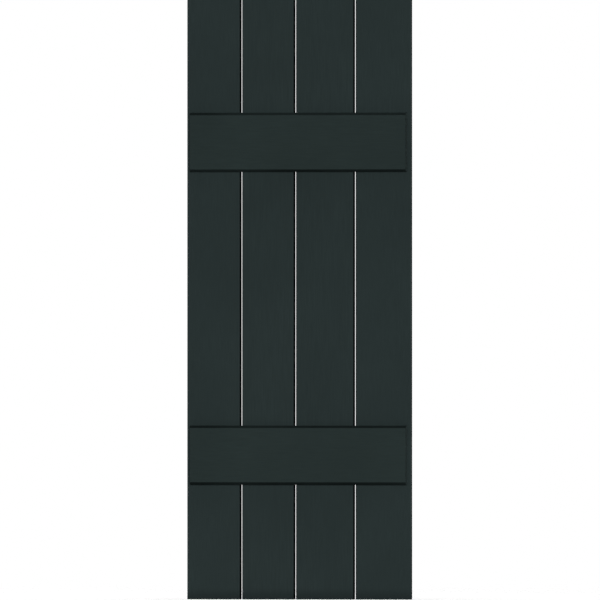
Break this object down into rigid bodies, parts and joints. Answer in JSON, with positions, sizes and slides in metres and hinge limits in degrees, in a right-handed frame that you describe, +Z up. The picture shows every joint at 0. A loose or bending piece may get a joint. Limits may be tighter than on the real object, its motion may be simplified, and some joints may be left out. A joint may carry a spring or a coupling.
{
  "type": "board and batten shutter",
  "caption": "Window shutter of upright painted boards with narrow open gaps, held together by an upper and a lower batten screwed on from the back; fixed flat against a wall.",
  "frame": {"origin": "on the back plane of the boards, which bears on the wall, at mid width and mid height", "axes": "+Z up along the boards, +X to the right as seen from the front, +Y out of the back towards the wall"},
  "size_m": [0.381, 0.038, 1.016],
  "materials": {
    "board_paint": "satin",
    "batten_paint": "satin",
    "screw_steel": "satin"
  },
  "bodies": {
    "root": {"left_board": "board_paint", "centre_left_board": "board_paint", "centre_right_board": "board_paint", "right_board": "board_paint", "upper_batten": "batten_paint", "lower_batten": "batten_paint", "upper_batten_screw_1": "screw_steel", "upper_batten_screw_2": "screw_steel", "upper_batten_screw_3": "screw_steel", "upper_batten_screw_4": "screw_steel", "upper_batten_screw_5": "screw_steel", "upper_batten_screw_6": "screw_steel", "upper_batten_screw_7": "screw_steel", "upper_batten_screw_8": "screw_steel", "lower_batten_screw_1": "screw_steel", "lower_batten_screw_2": "screw_steel", "lower_batten_screw_3": "screw_steel", "lower_batten_screw_4": "screw_steel", "lower_batten_screw_5": "screw_steel", "lower_batten_screw_6": "screw_steel", "lower_batten_screw_7": "screw_steel", "lower_batten_screw_8": "screw_steel"}
  },
  "joints": []
}
